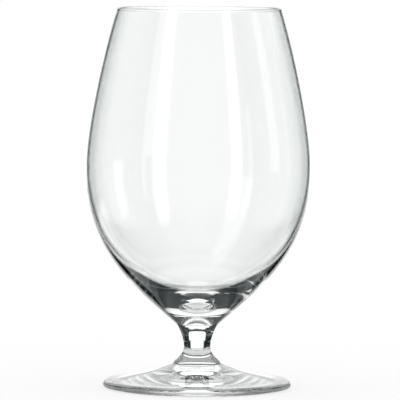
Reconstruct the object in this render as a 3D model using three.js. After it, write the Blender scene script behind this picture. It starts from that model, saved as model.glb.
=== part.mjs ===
// Stemmed beer glass: a blown bowl, a drawn stem and a spun foot, fused to each other.
// Millimetres, +Z up. The origin is on the table, in the middle under the foot.
import * as THREE from "three";

// Bowl, outside: from the neck, where it sits on the stem, over the belly to the mouth
const BOWL_HEIGHT = 125.5;
const BELLY_ABOVE_NECK = 62.8;
const MOUTH_RADIUS = 33.3;
const MOUTH_LEAN = 17;
const BELLY_RADIUS = 45.1;
const NECK_RADIUS = 8.8;
const NECK_SLOPE = 42;

// Bowl, glass thickness
const WALL = 1.3;
const RIM_BEAD_SWELL = 0.2;
const BASE_THICKNESS = 8;
const CAVITY_FLOOR_RADIUS = 12;

// Stem: from the foot, over a flare and a waist, to the neck
const STEM_HEIGHT = 16.2;
const WAIST_ABOVE_FOOT = 7;
const WAIST_RADIUS = 5.3;
const FLARE_RADIUS = 9.6;
const FLARE_SLOPE = 72;

// Foot
const FOOT_HEIGHT = 9.9;
const FOOT_TOP_SLOPE = 28;
const FOOT_RADIUS = 37.6;
const FOOT_EDGE_SLOPE = 4;
const FOOT_EDGE_THICKNESS = 2.9;
const FOOT_EDGE_LIFT = 0.55;
const FOOT_UNDERCUT = 15;
const BEARING_RING_WIDTH = 2.5;
const HOLLOW_DEPTH = 1.2;

// How far a curve keeps the direction of its end, as a share of the height or width that it spans
const HOLD_AT_MOUTH = 0.24;
const HOLD_OVER_BELLY = 0.26;
const HOLD_UNDER_BELLY = 0.56;
const HOLD_OVER_NECK = 0.3;
const CAVITY_HOLD_UNDER_BELLY = 0.72;
const HOLD_UNDER_NECK = 0.29;
const HOLD_OVER_WAIST = 0.28;
const HOLD_UNDER_WAIST = 0.55;
const HOLD_OVER_FLARE = 0.36;
const HOLD_ON_FOOT_TOP = 0.2;
const HOLD_ON_FOOT_EDGE = 0.28;
const HOLD_IN_HOLLOW = 0.5;

// Facets
const TURN_SEGMENTS = 64;
const LONG_CURVE_STEPS = 12;
const SHORT_CURVE_STEPS = 7;
const EDGE_STEPS = 6;
const BEAD_STEPS = 3;

// A point of a profile: distance from the axis, height above the table.
function at(radius, height) {
  return new THREE.Vector2(radius, height);
}

// The point that lies a distance away, at an angle in degrees: 0 is outward, 90 is up.
function away(point, degrees, distance) {
  const angle = THREE.MathUtils.degToRad(degrees);
  return at(point.x + distance * Math.cos(angle), point.y + distance * Math.sin(angle));
}

function curve(start, startHandle, endHandle, end, steps) {
  return new THREE.CubicBezierCurve(start, startHandle, endHandle, end).getPoints(steps);
}

// Points of an arc from one angle in degrees to another; a falling angle runs clockwise.
function arc(centre, radius, fromDegrees, toDegrees, steps) {
  const points = [];
  for (let step = 0; step <= steps; step += 1) {
    points.push(away(centre, THREE.MathUtils.lerp(fromDegrees, toDegrees, step / steps), radius));
  }
  return points;
}

// Joins stretches into one profile and leaves out the point that two neighbours share.
function join(...stretches) {
  const profile = [];
  for (const point of stretches.flat()) {
    const last = profile[profile.length - 1];
    if (!last || last.distanceTo(point) > 1e-6) {
      profile.push(point);
    }
  }
  return profile;
}

// Turns a profile, which starts and ends on the axis, round the upright axis.
function turned(profile) {
  const geometry = new THREE.LatheGeometry(profile, TURN_SEGMENTS);
  geometry.rotateX(Math.PI / 2);
  return geometry;
}

function clearGlass() {
  return new THREE.MeshStandardMaterial({
    color: 0xf3f6f5,
    roughness: 0.03,
    metalness: 0,
    transparent: true,
    opacity: 0.4,
  });
}

function piece(name, profile) {
  const mesh = new THREE.Mesh(turned(profile), clearGlass());
  mesh.name = name;
  return mesh;
}

// Where the three pieces meet: level, flat seams between glass and glass.
const footSeam = at(FLARE_RADIUS, FOOT_HEIGHT);
const neckSeam = at(NECK_RADIUS, FOOT_HEIGHT + STEM_HEIGHT);
const rimHeight = neckSeam.y + BOWL_HEIGHT;
const bellyHeight = neckSeam.y + BELLY_ABOVE_NECK;

// The rim bead: a round bead on the end of the leaning wall, a little thicker than the wall.
const beadRadius = (WALL + RIM_BEAD_SWELL) / 2;
const beadCentre = at(MOUTH_RADIUS - beadRadius, rimHeight - beadRadius);
const wallHalfAngle = THREE.MathUtils.radToDeg(Math.asin(WALL / 2 / beadRadius));
const wallDown = MOUTH_LEAN - 90;
const outerBeadEnd = away(beadCentre, wallDown + wallHalfAngle, beadRadius);
const innerBeadEnd = away(beadCentre, wallDown - wallHalfAngle, beadRadius);

function upperWall(mouthEnd, belly) {
  const span = mouthEnd.y - belly.y;
  const mouthHandle = away(mouthEnd, wallDown, HOLD_AT_MOUTH * span);
  const bellyHandle = away(belly, 90, HOLD_OVER_BELLY * span);
  return curve(mouthEnd, mouthHandle, bellyHandle, belly, LONG_CURVE_STEPS);
}

function bowlOutside() {
  const belly = at(BELLY_RADIUS, bellyHeight);
  const bellyHandle = away(belly, -90, HOLD_UNDER_BELLY * BELLY_ABOVE_NECK);
  const neckHandle = away(neckSeam, NECK_SLOPE, HOLD_OVER_NECK * BELLY_ABOVE_NECK);
  const lowerWall = curve(belly, bellyHandle, neckHandle, neckSeam, LONG_CURVE_STEPS);
  return join(upperWall(outerBeadEnd, belly), lowerWall);
}

function bowlInside() {
  const belly = at(BELLY_RADIUS - WALL, bellyHeight);
  const floorHeight = neckSeam.y + BASE_THICKNESS;
  const floorCentre = at(0, floorHeight);
  const floorHandle = at(CAVITY_FLOOR_RADIUS, floorHeight);
  const bellyHandle = away(belly, -90, CAVITY_HOLD_UNDER_BELLY * (bellyHeight - floorHeight));
  const lowerWall = curve(belly, bellyHandle, floorHandle, floorCentre, LONG_CURVE_STEPS);
  return join(upperWall(innerBeadEnd, belly), lowerWall);
}

function bowl() {
  const outerBead = arc(beadCentre, beadRadius, wallDown + wallHalfAngle, 90, BEAD_STEPS);
  const innerBead = arc(beadCentre, beadRadius, 90, wallDown - wallHalfAngle + 360, BEAD_STEPS);
  const seam = [at(0, neckSeam.y)];
  return piece("bowl", join(seam, bowlOutside().reverse(), outerBead, innerBead, bowlInside()));
}

function stem() {
  const waist = at(WAIST_RADIUS, footSeam.y + WAIST_ABOVE_FOOT);
  const upperSpan = STEM_HEIGHT - WAIST_ABOVE_FOOT;
  const flareHandle = away(footSeam, 180 - FLARE_SLOPE, HOLD_OVER_FLARE * WAIST_ABOVE_FOOT);
  const underWaist = away(waist, -90, HOLD_UNDER_WAIST * WAIST_ABOVE_FOOT);
  const overWaist = away(waist, 90, HOLD_OVER_WAIST * upperSpan);
  const neckHandle = away(neckSeam, NECK_SLOPE - 180, HOLD_UNDER_NECK * upperSpan);
  const lowerHalf = curve(footSeam, flareHandle, underWaist, waist, SHORT_CURVE_STEPS);
  const upperHalf = curve(waist, overWaist, neckHandle, neckSeam, SHORT_CURVE_STEPS);
  return piece("stem", join([at(0, footSeam.y)], lowerHalf, upperHalf, [at(0, neckSeam.y)]));
}

function footTop(edgeTop) {
  const span = edgeTop.x - footSeam.x;
  const seamHandle = away(footSeam, -FOOT_TOP_SLOPE, HOLD_ON_FOOT_TOP * span);
  const edgeHandle = away(edgeTop, 180 - FOOT_EDGE_SLOPE, HOLD_ON_FOOT_EDGE * span);
  return curve(edgeTop, edgeHandle, seamHandle, footSeam, LONG_CURVE_STEPS);
}

// The underside: a flat bearing ring, and inside it a shallow hollow that clears the table.
function footUnderside(edgeBottom) {
  const ringOuter = edgeBottom.x - edgeBottom.y / Math.tan(THREE.MathUtils.degToRad(FOOT_UNDERCUT));
  const ringInner = ringOuter - BEARING_RING_WIDTH;
  const hollowCentre = at(0, HOLLOW_DEPTH);
  const hollowHandle = at(HOLD_IN_HOLLOW * ringInner, HOLLOW_DEPTH);
  const hollow = curve(hollowCentre, hollowHandle, hollowHandle, at(ringInner, 0), SHORT_CURVE_STEPS);
  return join(hollow, [at(ringOuter, 0)]);
}

function foot() {
  const edgeRadius = FOOT_EDGE_THICKNESS / 2;
  const edgeCentre = at(FOOT_RADIUS - edgeRadius, FOOT_EDGE_LIFT + edgeRadius);
  const edge = arc(edgeCentre, edgeRadius, -90 - FOOT_UNDERCUT, 90 - FOOT_EDGE_SLOPE, EDGE_STEPS);
  const underside = footUnderside(edge[0]);
  const top = footTop(edge[EDGE_STEPS]);
  return piece("foot", join(underside, edge, top, [at(0, footSeam.y)]));
}

const glass = new THREE.Group();
glass.name = "beer_glass";
glass.add(bowl(), stem(), foot());

export default glass;
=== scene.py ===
from math import asin, cos, degrees, pi, radians, sin, tan

import bpy
from mathutils import Matrix, Vector


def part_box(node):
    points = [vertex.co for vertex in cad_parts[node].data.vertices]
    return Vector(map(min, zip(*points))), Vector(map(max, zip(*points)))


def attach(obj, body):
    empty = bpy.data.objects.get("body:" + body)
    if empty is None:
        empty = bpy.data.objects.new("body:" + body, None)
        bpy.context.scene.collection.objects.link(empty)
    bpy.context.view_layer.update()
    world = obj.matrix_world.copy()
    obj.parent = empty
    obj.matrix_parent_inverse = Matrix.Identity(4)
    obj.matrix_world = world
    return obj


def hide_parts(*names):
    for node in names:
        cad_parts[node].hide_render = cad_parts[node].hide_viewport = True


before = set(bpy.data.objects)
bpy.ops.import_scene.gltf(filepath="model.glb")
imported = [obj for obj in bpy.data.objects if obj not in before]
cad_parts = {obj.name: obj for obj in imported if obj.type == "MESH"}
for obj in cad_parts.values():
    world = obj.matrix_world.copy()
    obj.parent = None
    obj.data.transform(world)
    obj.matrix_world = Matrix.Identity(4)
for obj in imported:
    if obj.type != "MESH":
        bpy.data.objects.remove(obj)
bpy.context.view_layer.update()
MM = 0.001

# Sizes and places that the frame gives
bowl_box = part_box("bowl")
stem_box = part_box("stem")
foot_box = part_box("foot")
RIM_HEIGHT = bowl_box[1][2]
BELLY_RADIUS = bowl_box[1][0]
NECK_HEIGHT = stem_box[1][2]
FLARE_RADIUS = stem_box[1][0]
FOOT_HEIGHT = foot_box[1][2]
FOOT_RADIUS = foot_box[1][0]

# Sizes of the glass that lie inside those boxes
BELLY_ABOVE_NECK = 62.8 * MM
MOUTH_RADIUS = 33.3 * MM
MOUTH_LEAN = 17
NECK_RADIUS = 8.8 * MM
NECK_SLOPE = 42
WALL = 1.3 * MM
RIM_BEAD_SWELL = 0.2 * MM
BASE_THICKNESS = 8 * MM
CAVITY_FLOOR_RADIUS = 12 * MM
WAIST_ABOVE_FOOT = 7 * MM
WAIST_RADIUS = 5.3 * MM
FLARE_SLOPE = 72
FOOT_TOP_SLOPE = 28
FOOT_EDGE_SLOPE = 4
FOOT_EDGE_THICKNESS = 2.9 * MM
FOOT_EDGE_LIFT = 0.55 * MM
FOOT_UNDERCUT = 15
BEARING_RING_WIDTH = 2.5 * MM
HOLLOW_DEPTH = 1.2 * MM

# How far a curve keeps the direction of its end, as a share of the height or width that it spans
HOLD_AT_MOUTH = 0.24
HOLD_OVER_BELLY = 0.26
HOLD_UNDER_BELLY = 0.56
HOLD_OVER_NECK = 0.3
CAVITY_HOLD_UNDER_BELLY = 0.72
HOLD_UNDER_NECK = 0.29
HOLD_OVER_WAIST = 0.28
HOLD_UNDER_WAIST = 0.55
HOLD_OVER_FLARE = 0.36
HOLD_ON_FOOT_TOP = 0.2
HOLD_ON_FOOT_EDGE = 0.28
HOLD_IN_HOLLOW = 0.5

# Fineness of the turned meshes, and the radius under which a place counts as on the axis
TURN_SEGMENTS = 192
CURVE_STEPS = 44
ARC_STEPS = 18
BEAD_STEPS = 10
AXIS_RADIUS = 1e-9

# Glass: its tint straight on, at its edges a blue-green tint with painted shade that darkens them, its
# drawn waves and its uneven polish
GLASS_IOR = 1.52
GLASS_TINT = (0.992, 1, 0.996, 1)
EDGE_TINT_AND_SHADE = (0.87, 0.93, 0.92, 1)
EDGE_TINT_AND_SHADE_FALL = 2.5
WAVES_PER_METRE = (55, 55, 14)
WAVE_HEIGHT = 0.03 * MM
LEAST_ROUGHNESS = 0.01
MOST_ROUGHNESS = 0.05

# Camera: the photograph is 400 pixels wide and high, and the sensor's width is in millimetres
PHOTO_SIZE = 400
FOCAL_LENGTH_PX = 4600
CAMERA_DISTANCE = 1.827
CAMERA_HEIGHT = 0.1884
CAMERA_DOWN = 3.547
CAMERA_ASIDE = 0.023
CAMERA_ROLL = 0.4
SENSOR_WIDTH = 36
CLIP_START = 0.01

# How often a ray may meet a surface, in all and for each kind of meeting
MOST_BOUNCES = 24
TRANSMISSION_BOUNCES = 20
GLOSSY_BOUNCES = 16
TRANSPARENT_BOUNCES = 16

# Levels of light in the studio, where 1 is white. Under DARK_TONE_REACH the light turns to DARK_TONE.
WHITE = 1.0
WHITE_COLOUR = (1, 1, 1, 1)
DARK = 0.012
DARK_TONE = (0.35, 1, 1.05, 1)
DARK_TONE_REACH = 0.12
SOFT_LIGHT = 0.9
HIGHLIGHT = 1.8

# Panels that the glass shows. Azimuth 0 is straight behind the glass, and positive is to the right.
# Centre and half_width are azimuths, low and high are angles above the horizon, and blur is the width
# of a soft edge.
PANELS = {
    "white ground": dict(centre=0, half_width=20.5, low=-90, high=28, level=1.06, blur=6),
    "high behind the glass": dict(centre=0, half_width=24.5, low=10.5, high=37, level=1.6, blur=6),
    "fill behind the camera": dict(centre=180, half_width=48, low=-68, high=35, level=0.38, blur=30),
    "low, left of the ground": dict(centre=-45, half_width=13, low=-90, high=-15, level=WHITE, blur=4),
    "low, right of the ground": dict(centre=45, half_width=12, low=-90, high=-21, level=0.9, blur=10),
    "low, right of the camera": dict(centre=135, half_width=13, low=-90, high=-6, level=WHITE, blur=4),
    "low, at the left": dict(centre=-90, half_width=6.5, low=-26, high=1, level=0.95, blur=3),
    "wide left highlight": dict(centre=-139, half_width=6.5, low=-38, high=32, level=HIGHLIGHT, blur=5),
    "thin left highlight": dict(centre=-122.5, half_width=2.5, low=-20, high=32, level=0.8, blur=3),
    "faint left line": dict(centre=-68, half_width=1, low=-5, high=32, level=0.25, blur=1.5),
    "right highlight": dict(centre=140, half_width=5, low=-28, high=34, level=HIGHLIGHT, blur=5),
    "faint right line": dict(centre=73, half_width=1.2, low=-5, high=38, level=0.25, blur=2),
}

# A graded part of the white ground. Its level rises to either side and is full at GRADED_END. The rise
# starts at an angle below 0, so its middle already has part of that level.
GRADED_GROUND = dict(centre=0, half_width=17, low=-11, high=5, blur=9)
GRADED_LEVEL = 1.42
GRADED_START = -16
GRADED_END = 10

# Table, of which the shaded share takes the shadow of the glass
TABLE_RADIUS = 0.3
TABLE_SEGMENTS = 128
TABLE_COLOUR = (0.9, 0.9, 0.9, 1)
TABLE_SHADED_SHARE = 0.3

# Painted shadow and light on the table, as the glass shows it near the foot: radius as a share of the
# patch, and level
PAINTED_PATCH_RADIUS = 50 * MM
TABLE_PAINTED_SHADOW_AND_LIGHT = {
    "under the stem": (0, 0.45),
    "under the hollow, inner": (0.24, 0.8),
    "under the hollow, outer": (0.56, 0.82),
    "at the bearing ring": (0.64, 0.4),
    "under the foot's edge": (0.75, 0.25),
    "beside the foot": (0.83, 0.6),
    "further out": (1, 0.55),
}


class Spot:
    """A place on an outline, radius and height, and the way the outline runs there."""

    def __init__(self, radius, height, way):
        self.place = Vector((radius, height))
        self.way = Vector(way)

    def outward(self):
        """The glass lies on the left of its outline, so the air is on the right."""
        way = self.way.normalized()
        return way.y, -way.x


def at(radius, height):
    return Vector((radius, height))


def away(place, angle, distance):
    """The place that lies a distance away, at an angle: 0 is outward and 90 is up."""
    return place + distance * at(cos(radians(angle)), sin(radians(angle)))


def curve(a, b, c, d):
    """A smooth stretch from a to d, with b and c as its handles."""
    spots = []
    for step in range(CURVE_STEPS + 1):
        t = step / CURVE_STEPS
        u = 1 - t
        place = u**3 * a + 3 * u * u * t * b + 3 * u * t * t * c + t**3 * d
        way = u * u * (b - a) + 2 * u * t * (c - b) + t * t * (d - c)
        spots.append(Spot(place.x, place.y, way))
    return spots


def arc(centre, radius, start, end, steps):
    spots = []
    turn = 90 if end > start else -90
    for step in range(steps + 1):
        angle = start + (end - start) * step / steps
        place = away(centre, angle, radius)
        way = away(at(0, 0), angle + turn, 1)
        spots.append(Spot(place.x, place.y, way))
    return spots


def line(a, b):
    return [Spot(a.x, a.y, b - a), Spot(b.x, b.y, b - a)]


def flipped(spots):
    """The same stretch, run the other way."""
    return [Spot(s.place.x, s.place.y, -s.way) for s in reversed(spots)]


# Where the three pieces are fused
foot_seam = at(FLARE_RADIUS, FOOT_HEIGHT)
neck_seam = at(NECK_RADIUS, NECK_HEIGHT)
belly_height = NECK_HEIGHT + BELLY_ABOVE_NECK

# The rim bead, on the end of the leaning wall
bead_radius = (WALL + RIM_BEAD_SWELL) / 2
bead_centre = at(MOUTH_RADIUS - bead_radius, RIM_HEIGHT - bead_radius)
wall_half_angle = degrees(asin(WALL / 2 / bead_radius))
wall_down = MOUTH_LEAN - 90


def upper_wall(mouth_end, belly):
    span = mouth_end.y - belly.y
    mouth_handle = away(mouth_end, wall_down, HOLD_AT_MOUTH * span)
    belly_handle = away(belly, 90, HOLD_OVER_BELLY * span)
    return curve(mouth_end, mouth_handle, belly_handle, belly)


def bowl_outside(outer_end):
    """From the neck over the belly up to the rim bead."""
    belly = at(BELLY_RADIUS, belly_height)
    belly_handle = away(belly, -90, HOLD_UNDER_BELLY * BELLY_ABOVE_NECK)
    neck_handle = away(neck_seam, NECK_SLOPE, HOLD_OVER_NECK * BELLY_ABOVE_NECK)
    return [
        curve(neck_seam, neck_handle, belly_handle, belly),
        flipped(upper_wall(outer_end, belly)),
    ]


def bowl_inside(inner_end):
    """From the rim bead down the wall to the middle of the cavity's bottom."""
    belly = at(BELLY_RADIUS - WALL, belly_height)
    floor_height = NECK_HEIGHT + BASE_THICKNESS
    cavity_drop = belly_height - floor_height
    belly_handle = away(belly, -90, CAVITY_HOLD_UNDER_BELLY * cavity_drop)
    floor_handle = at(CAVITY_FLOOR_RADIUS, floor_height)
    return [
        upper_wall(inner_end, belly),
        curve(belly, belly_handle, floor_handle, at(0, floor_height)),
    ]


def bowl_outline():
    outer_end = away(bead_centre, wall_down + wall_half_angle, bead_radius)
    inner_end = away(bead_centre, wall_down - wall_half_angle, bead_radius)
    bead = [
        arc(bead_centre, bead_radius, wall_down + wall_half_angle, 90, BEAD_STEPS),
        arc(bead_centre, bead_radius, 90, wall_down - wall_half_angle + 360, BEAD_STEPS),
    ]
    seam = [line(at(0, NECK_HEIGHT), neck_seam)]
    return seam + bowl_outside(outer_end) + bead + bowl_inside(inner_end)


def stem_outline():
    waist = at(WAIST_RADIUS, FOOT_HEIGHT + WAIST_ABOVE_FOOT)
    upper_span = NECK_HEIGHT - waist.y
    flare_handle = away(foot_seam, 180 - FLARE_SLOPE, HOLD_OVER_FLARE * WAIST_ABOVE_FOOT)
    under_waist = away(waist, -90, HOLD_UNDER_WAIST * WAIST_ABOVE_FOOT)
    over_waist = away(waist, 90, HOLD_OVER_WAIST * upper_span)
    neck_handle = away(neck_seam, NECK_SLOPE - 180, HOLD_UNDER_NECK * upper_span)
    return [
        line(at(0, FOOT_HEIGHT), foot_seam),
        curve(foot_seam, flare_handle, under_waist, waist),
        curve(waist, over_waist, neck_handle, neck_seam),
        line(neck_seam, at(0, NECK_HEIGHT)),
    ]


def foot_outline():
    edge_radius = FOOT_EDGE_THICKNESS / 2
    edge_centre = at(FOOT_RADIUS - edge_radius, FOOT_EDGE_LIFT + edge_radius)
    edge = arc(edge_centre, edge_radius, -90 - FOOT_UNDERCUT, 90 - FOOT_EDGE_SLOPE, ARC_STEPS)
    edge_bottom = edge[0].place
    edge_top = edge[-1].place
    ring_outer = edge_bottom.x - edge_bottom.y / tan(radians(FOOT_UNDERCUT))
    ring_inner = ring_outer - BEARING_RING_WIDTH
    hollow_handle = at(HOLD_IN_HOLLOW * ring_inner, HOLLOW_DEPTH)
    span = edge_top.x - foot_seam.x
    edge_handle = away(edge_top, 180 - FOOT_EDGE_SLOPE, HOLD_ON_FOOT_EDGE * span)
    seam_handle = away(foot_seam, -FOOT_TOP_SLOPE, HOLD_ON_FOOT_TOP * span)
    return [
        curve(at(0, HOLLOW_DEPTH), hollow_handle, hollow_handle, at(ring_inner, 0)),
        line(at(ring_inner, 0), at(ring_outer, 0)),
        line(at(ring_outer, 0), edge_bottom),
        edge,
        curve(edge_top, edge_handle, seam_handle, foot_seam),
        line(foot_seam, at(0, FOOT_HEIGHT)),
    ]


def ring_of(place, vertices):
    """The vertices that one place of the outline turns into: one on the axis, or a full ring."""
    first = len(vertices)
    if place.x < AXIS_RADIUS:
        vertices.append((0, 0, place.y))
        return [first] * TURN_SEGMENTS
    for k in range(TURN_SEGMENTS):
        turn = 2 * pi * k / TURN_SEGMENTS
        vertices.append((place.x * cos(turn), place.x * sin(turn), place.y))
    return list(range(first, first + TURN_SEGMENTS))


def is_seam(stretch):
    """Only the fused faces are level and lie above the table."""
    return stretch[0].place.y == stretch[-1].place.y and stretch[0].place.y > 0


def face_corners(last, ring, k):
    """One face between two rings: for each corner its vertex, its side of the turn and its end."""
    n = (k + 1) % TURN_SEGMENTS
    corners = [(last[k], k, 0), (last[n], n, 0), (ring[n], n, 1), (ring[k], k, 1)]
    if last[k] == last[n]:
        del corners[1]
    elif ring[k] == ring[n]:
        del corners[2]
    return corners


def mesh_piece(name, vertices, faces, slots, normals, materials):
    mesh = bpy.data.meshes.new(name)
    mesh.from_pydata(vertices, [], faces)
    for material in materials:
        mesh.materials.append(material)
    mesh.polygons.foreach_set("material_index", slots)
    mesh.polygons.foreach_set("use_smooth", [True] * len(faces))
    mesh.normals_split_custom_set(normals)
    mesh.update()
    piece = bpy.data.objects.new(name, mesh)
    bpy.context.scene.collection.objects.link(piece)
    return piece


def turned(name, outline, materials):
    """Turns an outline round the axis into a closed mesh whose shading follows the true curves.

    The seams take the second material."""
    vertices = []
    faces = []
    slots = []
    normals = []
    ring = ring_of(outline[0][0].place, vertices)
    for stretch in outline:
        slot = 1 if is_seam(stretch) else 0
        for before, after in zip(stretch, stretch[1:]):
            last = ring
            ring = ring_of(after.place, vertices)
            ends = (before.outward(), after.outward())
            for k in range(TURN_SEGMENTS):
                corners = face_corners(last, ring, k)
                faces.append([corner[0] for corner in corners])
                slots.append(slot)
                for _, side, end in corners:
                    turn = 2 * pi * side / TURN_SEGMENTS
                    out, up = ends[end]
                    normals.append((out * cos(turn), out * sin(turn), up))
    return mesh_piece(name, vertices, faces, slots, normals, materials)


class Nodes:
    """Short calls that add shader nodes to one tree."""

    def __init__(self, tree):
        self.tree = tree
        tree.nodes.clear()

    def new(self, kind):
        return self.tree.nodes.new(kind)

    def feed(self, socket, value):
        if isinstance(value, (int, float)):
            socket.default_value = value
        else:
            self.tree.links.new(value, socket)

    def math(self, operation, *values):
        node = self.new("ShaderNodeMath")
        node.operation = operation
        for socket, value in zip(node.inputs, values):
            self.feed(socket, value)
        return node.outputs[0]

    def step(self, value, start, end):
        """0 up to one angle, 1 from the other on, smooth between them."""
        node = self.new("ShaderNodeMapRange")
        node.interpolation_type = "SMOOTHSTEP"
        self.feed(node.inputs["Value"], value)
        node.inputs["From Min"].default_value = radians(start)
        node.inputs["From Max"].default_value = radians(end)
        return node.outputs[0]

    def brightest(self, values):
        result = values[0]
        for value in values[1:]:
            result = self.math("MAXIMUM", result, value)
        return result

    def blended(self, share, first, second):
        """A colour between two fixed ones, with a share of the second."""
        node = self.new("ShaderNodeMix")
        node.data_type = "RGBA"
        self.feed(node.inputs["Factor"], share)
        node.inputs["A"].default_value = first
        node.inputs["B"].default_value = second
        return node.outputs["Result"]

    def mixed(self, share, first, second):
        """Two shaders in one, with a share of the second."""
        node = self.new("ShaderNodeMixShader")
        self.feed(node.inputs["Fac"], share)
        self.feed(node.inputs[1], first)
        self.feed(node.inputs[2], second)
        return node.outputs[0]

    def on_glass(self, path):
        """1 for a ray that the glass reflects or lets through, 0 for any other."""
        return self.math("MAXIMUM", path.outputs["Is Glossy Ray"], path.outputs["Is Transmission Ray"])


def drawn_waves(nodes):
    """Faint waves, long along the axis and short across it."""
    coordinates = nodes.new("ShaderNodeTexCoord")
    drawn = nodes.new("ShaderNodeMapping")
    drawn.inputs["Scale"].default_value = WAVES_PER_METRE
    nodes.feed(drawn.inputs["Vector"], coordinates.outputs["Object"])
    waves = nodes.new("ShaderNodeTexNoise")
    waves.inputs["Scale"].default_value = 1
    waves.inputs["Detail"].default_value = 1
    nodes.feed(waves.inputs["Vector"], drawn.outputs["Vector"])
    return waves.outputs["Fac"]


def clear_glass():
    """Clear, fire-polished glass with faint drawn waves, a little blue-green at its edges and darkened
    there by painted shade.
    """
    material = bpy.data.materials.new("clear_glass")
    material.use_nodes = True
    nodes = Nodes(material.node_tree)
    shader = nodes.new("ShaderNodeBsdfPrincipled")
    shader.inputs["IOR"].default_value = GLASS_IOR
    shader.inputs["Transmission Weight"].default_value = 1
    # Painted shade: the glass turns darker as well as blue-green where it is seen edge-on
    rim = nodes.new("ShaderNodeLayerWeight")
    edge_tint_and_shade_share = nodes.math("POWER", rim.outputs["Facing"], EDGE_TINT_AND_SHADE_FALL)
    nodes.feed(shader.inputs["Base Color"], nodes.blended(edge_tint_and_shade_share, GLASS_TINT, EDGE_TINT_AND_SHADE))
    waves = drawn_waves(nodes)
    bump = nodes.new("ShaderNodeBump")
    bump.inputs["Strength"].default_value = 1
    bump.inputs["Distance"].default_value = WAVE_HEIGHT
    nodes.feed(bump.inputs["Height"], waves)
    nodes.feed(shader.inputs["Normal"], bump.outputs["Normal"])
    polish = nodes.new("ShaderNodeMapRange")
    nodes.feed(polish.inputs["Value"], waves)
    polish.inputs["To Min"].default_value = LEAST_ROUGHNESS
    polish.inputs["To Max"].default_value = MOST_ROUGHNESS
    nodes.feed(shader.inputs["Roughness"], polish.outputs["Result"])
    output = nodes.new("ShaderNodeOutputMaterial")
    nodes.feed(output.inputs["Surface"], shader.outputs["BSDF"])
    return material


def fused_seam():
    """The seam faces inside the fused glass, which nothing shows."""
    material = bpy.data.materials.new("fused_seam")
    material.use_nodes = True
    material.node_tree.nodes["Principled BSDF"].inputs["Alpha"].default_value = 0
    return material


def panel(nodes, azimuth, height, centre, half_width, low, high, level, blur):
    """How bright a panel of the studio is in each direction: its level, or 0 past its soft edges."""
    from_centre = nodes.math("SUBTRACT", azimuth, radians(centre))
    aside = nodes.math("ABSOLUTE", nodes.math("WRAP", from_centre, pi, -pi))
    within = nodes.math("SUBTRACT", 1, nodes.step(aside, half_width - blur / 2, half_width + blur / 2))
    over = nodes.step(height, low - blur / 2, low + blur / 2)
    under = nodes.math("SUBTRACT", 1, nodes.step(height, high - blur / 2, high + blur / 2))
    shape = nodes.math("MULTIPLY", within, nodes.math("MULTIPLY", over, under))
    return nodes.math("MULTIPLY", shape, level)


def surroundings(nodes):
    """What the glass sees in each direction: the brightest panel there, or the dark between them."""
    coordinates = nodes.new("ShaderNodeTexCoord")
    way = nodes.new("ShaderNodeSeparateXYZ")
    nodes.feed(way.inputs[0], coordinates.outputs["Generated"])
    azimuth = nodes.math("ARCTAN2", way.outputs["X"], way.outputs["Y"])
    height = nodes.math("ARCSINE", way.outputs["Z"])
    aside = nodes.math("ABSOLUTE", azimuth)
    graded = nodes.math("MULTIPLY", nodes.step(aside, GRADED_START, GRADED_END), GRADED_LEVEL)
    panels = [panel(nodes, azimuth, height, level=graded, **GRADED_GROUND)]
    for sizes in PANELS.values():
        panels.append(panel(nodes, azimuth, height, **sizes))
    return nodes.math("MAXIMUM", nodes.brightest(panels), DARK)


def studio():
    """White for the camera, panels and dark sides for the glass, and a soft light for the rest."""
    world = bpy.data.worlds.new("studio")
    world.use_nodes = True
    bpy.context.scene.world = world
    nodes = Nodes(world.node_tree)
    path = nodes.new("ShaderNodeLightPath")
    camera_ray = path.outputs["Is Camera Ray"]
    on_glass = nodes.on_glass(path)
    other = nodes.math("SUBTRACT", 1, nodes.math("MAXIMUM", camera_ray, on_glass))
    seen_white = nodes.math("MULTIPLY", camera_ray, WHITE)
    strength = nodes.math("MULTIPLY_ADD", on_glass, surroundings(nodes), seen_white)
    strength = nodes.math("MULTIPLY_ADD", other, SOFT_LIGHT, strength)
    light_share = nodes.math("DIVIDE", strength, DARK_TONE_REACH)
    background = nodes.new("ShaderNodeBackground")
    nodes.feed(background.inputs["Color"], nodes.blended(light_share, DARK_TONE, WHITE_COLOUR))
    nodes.feed(background.inputs["Strength"], strength)
    output = nodes.new("ShaderNodeOutputWorld")
    nodes.feed(output.inputs["Surface"], background.outputs[0])


def table_seen(nodes):
    """The table as the camera sees it: white, and darker only in the shadow of the glass."""
    shaded = nodes.new("ShaderNodeBsdfDiffuse")
    shaded.inputs["Color"].default_value = TABLE_COLOUR
    shaded_level = TABLE_COLOUR[0] * SOFT_LIGHT
    lit_share = 1 - TABLE_SHADED_SHARE
    lit = nodes.new("ShaderNodeEmission")
    lit.inputs["Color"].default_value = WHITE_COLOUR
    lit.inputs["Strength"].default_value = (WHITE - TABLE_SHADED_SHARE * shaded_level) / lit_share
    return nodes.mixed(lit_share, shaded.outputs[0], lit.outputs[0])


def table_through_glass(nodes, share):
    """The table as the glass shows it: painted shadow and light in rings round the foot, by share of
    the patch.
    """
    # Painted shadow and light: emission rings, darkest under the foot's edge, the bearing ring and the
    # stem, lighter under the hollow
    painted_rings = nodes.new("ShaderNodeValToRGB")
    stops = painted_rings.color_ramp.elements
    stops.remove(stops[1])
    for place, level in TABLE_PAINTED_SHADOW_AND_LIGHT.values():
        stop = stops[0] if place == 0 else stops.new(place)
        stop.color = (level, level, level, 1)
    nodes.feed(painted_rings.inputs["Fac"], share)
    plain = nodes.new("ShaderNodeEmission")
    nodes.feed(plain.inputs["Color"], painted_rings.outputs["Color"])
    return plain.outputs[0]


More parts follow.
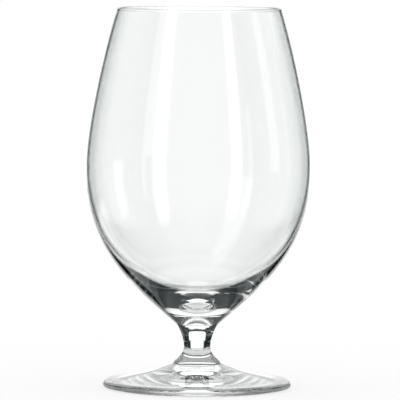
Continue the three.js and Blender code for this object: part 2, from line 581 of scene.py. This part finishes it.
def pale_table():
    """White for the camera. The glass shows a patch of painted shadow and light round the foot, and the
    studio beyond it.
    """
    material = bpy.data.materials.new("pale_table")
    material.use_nodes = True
    nodes = Nodes(material.node_tree)
    on_glass = nodes.on_glass(nodes.new("ShaderNodeLightPath"))
    coordinates = nodes.new("ShaderNodeTexCoord")
    length = nodes.new("ShaderNodeVectorMath")
    length.operation = "LENGTH"
    nodes.feed(length.inputs[0], coordinates.outputs["Object"])
    distance = length.outputs["Value"]
    beyond = nodes.math("GREATER_THAN", distance, PAINTED_PATCH_RADIUS)
    through = table_through_glass(nodes, nodes.math("DIVIDE", distance, PAINTED_PATCH_RADIUS))
    patch = nodes.mixed(on_glass, table_seen(nodes), through)
    clear = nodes.new("ShaderNodeBsdfTransparent")
    whole = nodes.mixed(nodes.math("MULTIPLY", on_glass, beyond), patch, clear.outputs[0])
    output = nodes.new("ShaderNodeOutputMaterial")
    nodes.feed(output.inputs["Surface"], whole)
    return material


def table():
    """A plain pale table that fades into the white studio, and keeps the glass's shadow."""
    bpy.ops.mesh.primitive_circle_add(vertices=TABLE_SEGMENTS, radius=TABLE_RADIUS, fill_type="NGON")
    top = bpy.context.object
    top.name = "table"
    top.data.materials.append(pale_table())


def camera():
    """The photograph's view: from a little over the rim's height, far away, with a slight roll."""
    data = bpy.data.cameras.new("camera")
    data.sensor_width = SENSOR_WIDTH
    data.lens = FOCAL_LENGTH_PX / PHOTO_SIZE * SENSOR_WIDTH
    data.clip_start = CLIP_START
    eye = bpy.data.objects.new("camera", data)
    bpy.context.scene.collection.objects.link(eye)
    down = radians(CAMERA_DOWN)
    aside = radians(CAMERA_ASIDE)
    forward = Vector((sin(aside), cos(aside) * cos(down), -sin(down)))
    right = forward.cross(Vector((0, 0, 1))).normalized()
    right = Matrix.Rotation(radians(-CAMERA_ROLL), 3, forward) @ right
    up = right.cross(forward)
    turn = Matrix((right, up, -forward)).transposed()
    eye.matrix_world = Matrix.Translation((0, -CAMERA_DISTANCE, CAMERA_HEIGHT)) @ turn.to_4x4()
    bpy.context.scene.camera = eye


def render_settings():
    scene = bpy.context.scene
    scene.view_settings.view_transform = "Standard"
    scene.cycles.max_bounces = MOST_BOUNCES
    scene.cycles.transmission_bounces = TRANSMISSION_BOUNCES
    scene.cycles.glossy_bounces = GLOSSY_BOUNCES
    scene.cycles.transparent_max_bounces = TRANSPARENT_BOUNCES


def glass():
    """The three fused pieces, each in the place of its CAD node."""
    materials = (clear_glass(), fused_seam())
    outlines = {"bowl": bowl_outline(), "stem": stem_outline(), "foot": foot_outline()}
    for node, outline in outlines.items():
        piece = turned("glass_" + node, outline, materials)
        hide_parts(node)
        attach(piece, "root")


glass()
studio()
table()
camera()
render_settings()
